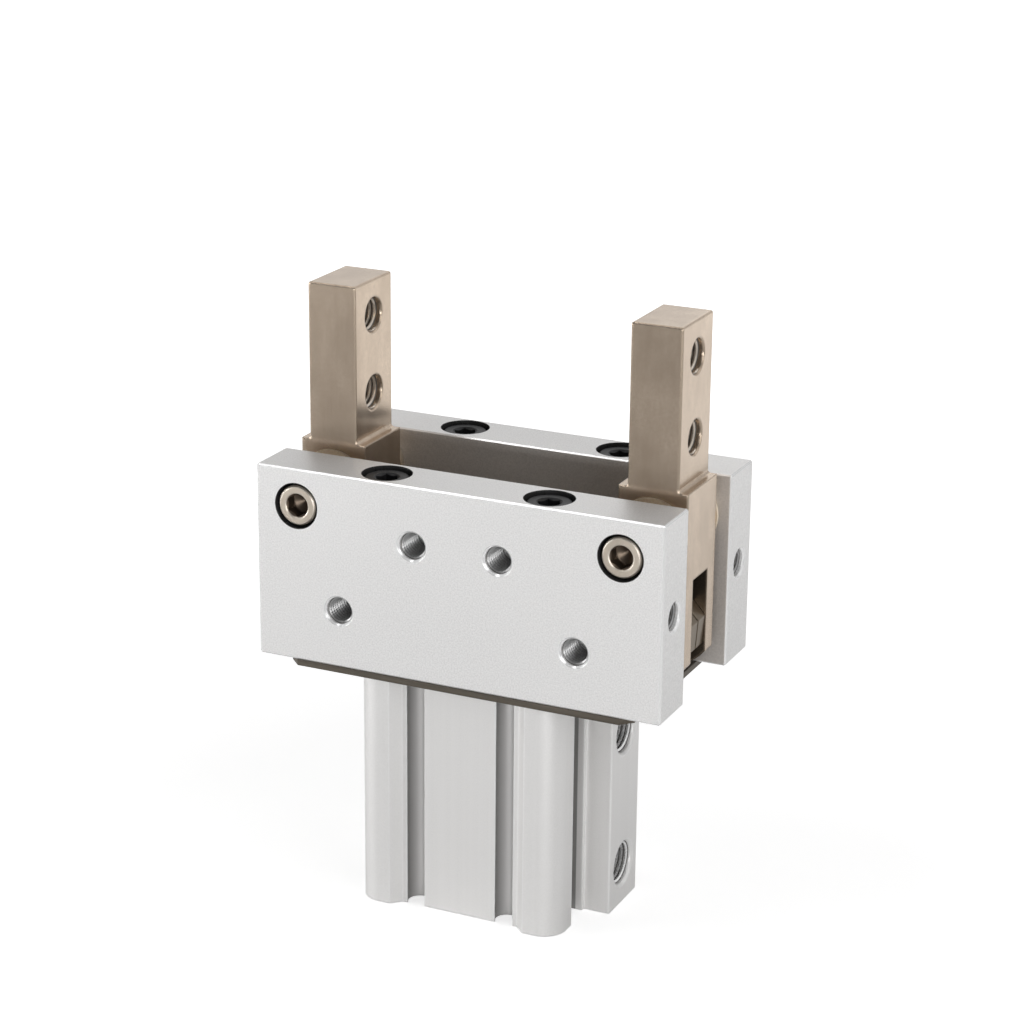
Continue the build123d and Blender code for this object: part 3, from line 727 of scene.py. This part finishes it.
cornerHoles = {
    "half": 25.0 * mm,
    "mouthDepth": 0.2 * mm,
    "depth": 21.0 * mm,
}
for count, (acrossX, acrossY) in enumerate(((-1, -1), (1, -1), (1, 1), (-1, 1))):
    mouth = Vector((acrossX * cornerHoles["half"], acrossY * cornerHoles["half"], cornerHoles["mouthDepth"]))
    seatThread(f"cornerThread{count + 1}", "frame", "threadAluminium",
               mouth, (0, 0, 1), cornerHoles["depth"], screwThread)
print("threads wound")


# the room: white to the camera, bright at the sides and behind in reflections, dim in front
roomLight = {
    "floorSize": 6,                  # metres
    "floorDrop": 0.0002,             # keeps the floor just under the object
    "floorColour": (0.80, 0.80, 0.80),
    "soft": 0.24,
    "glowNearFar": (0.60, 1.0),      # what the camera sees near the object and far out
    "glowFade": (0.12, 0.55),        # metres from the object
    "floorFrontBack": (0.0, 0.74),   # glow that metal sees in front and behind
    "floorFade": (-0.1, 0.5),        # metres along Y
    "worldFrontBack": (0.1, 1.05),
    "worldFade": (-0.6, 0.4),        # Y of the direction
    "flagDirection": (0.20, 0.86, 0.33),    # a dark card high behind, for crisp edges
    "flagAngles": (11, 21),          # degrees, full and gone
    "flagStrength": 0.12,
}


# the floor: white to the camera and in reflections, with the object's soft shadow
def makeFloor():
    bpy.ops.mesh.primitive_plane_add(size=roomLight["floorSize"], location=(0, 0, -roomLight["floorDrop"]))
    floor = bpy.context.object
    floor.name = "studioFloor"
    material, tree, shader = startMaterial("studioFloor")
    shader.inputs["Base Color"].default_value = (*roomLight["floorColour"], 1)
    shader.inputs["Roughness"].default_value = 0.9
    shader.inputs["Specular IOR Level"].default_value = 0.0
    seen = addNode(tree, "ShaderNodeLightPath")
    place = surfacePlace(tree)
    room = ramp(tree, splitAxes(tree, place)["Y"], *roomLight["floorFrontBack"], *roomLight["floorFade"])
    away = vectorStep(tree, "LENGTH", place, result="Value")
    clear = ramp(tree, away, *roomLight["glowNearFar"], *roomLight["glowFade"])
    mirrored = joinValues(tree, "MAXIMUM", seen.outputs["Is Glossy Ray"], seen.outputs["Is Transmission Ray"])
    brightest = joinValues(
        tree, "MAXIMUM",
        joinValues(tree, "MULTIPLY", seen.outputs["Is Camera Ray"], clear),
        joinValues(tree, "MULTIPLY", mirrored, room),
    )
    glow = addNode(tree, "ShaderNodeEmission")
    tree.links.new(brightest, glow.inputs["Strength"])
    both = addNode(tree, "ShaderNodeAddShader")
    tree.links.new(shader.outputs["BSDF"], both.inputs[0])
    tree.links.new(glow.outputs["Emission"], both.inputs[1])
    tree.links.new(both.outputs["Shader"], tree.nodes["Material Output"].inputs["Surface"])
    floor.data.materials.append(material)


def makeWorld():
    world = bpy.data.worlds.new("studioWorld")
    world.use_nodes = True
    bpy.context.scene.world = world
    tree = world.node_tree
    soft = tree.nodes["Background"]
    soft.inputs["Color"].default_value = (1, 1, 1, 1)
    soft.inputs["Strength"].default_value = roomLight["soft"]
    bright = addNode(tree, "ShaderNodeBackground")
    bright.inputs["Color"].default_value = (1, 1, 1, 1)
    bright.inputs["Strength"].default_value = 1.0
    glossy = addNode(tree, "ShaderNodeBackground")
    toward = surfacePlace(tree, "Generated")
    room = ramp(tree, splitAxes(tree, toward)["Y"], *roomLight["worldFrontBack"], *roomLight["worldFade"])
    flagToward = Vector(roomLight["flagDirection"]).normalized()
    facing = vectorStep(tree, "DOT_PRODUCT", toward, flagToward, result="Value")
    full, gone = (cos(radians(angle)) for angle in roomLight["flagAngles"])
    flag = ramp(tree, facing, 1.0, roomLight["flagStrength"], gone, full)
    tree.links.new(joinValues(tree, "MULTIPLY", room, flag), glossy.inputs["Strength"])
    seen = addNode(tree, "ShaderNodeLightPath")
    mirrorRay = joinValues(tree, "MAXIMUM", seen.outputs["Is Glossy Ray"], seen.outputs["Is Transmission Ray"])
    mirrored = addNode(tree, "ShaderNodeMixShader")
    direct = addNode(tree, "ShaderNodeMixShader")
    tree.links.new(mirrorRay, mirrored.inputs["Fac"])
    tree.links.new(soft.outputs["Background"], mirrored.inputs[1])
    tree.links.new(glossy.outputs["Background"], mirrored.inputs[2])
    tree.links.new(seen.outputs["Is Camera Ray"], direct.inputs["Fac"])
    tree.links.new(mirrored.outputs["Shader"], direct.inputs[1])
    tree.links.new(bright.outputs["Background"], direct.inputs[2])
    tree.links.new(direct.outputs["Shader"], tree.nodes["World Output"].inputs["Surface"])


lampSet = {
    "leftSoftbox": {"place": (-1.08, -0.62, 0.115), "size": (0.9, 0.2), "power": 7.7},
    "rightSoftbox": {"place": (0.55, -1.05, 0.115), "size": (0.9, 0.2), "power": 4.4},
    "fillSoftbox": {"place": (0.26, -0.16, 0.25), "size": (0.2, 0.2), "power": 0.24},
    "topSoftbox": {"place": (0.0, 0.55, 1.10), "size": (0.9, 0.7), "power": 1.4},
    "edgeSoftbox": {"place": (-0.48, -0.38, 1.13), "size": (0.25, 0.25), "power": 0.8},
    "backSoftbox": {"place": (0.1, 1.1, 0.5), "size": (0.9, 0.9), "power": 1.2},
}
lampAim = Vector((0, 0, 0.09))      # the object's middle


def makeLamps(lamps):
    for name, lamp in lamps.items():
        data = bpy.data.lights.new(name, "AREA")
        data.shape = "RECTANGLE"
        data.size, data.size_y = lamp["size"]
        data.energy = lamp["power"]
        light = bpy.data.objects.new(name, data)
        bpy.context.scene.collection.objects.link(light)
        light.location = lamp["place"]
        light.rotation_mode = "QUATERNION"
        light.rotation_quaternion = (lampAim - light.location).to_track_quat("-Z", "Y")


makeFloor()
makeWorld()
makeLamps(lampSet)
bpy.context.scene.view_settings.view_transform = "Standard"
print("studio set")
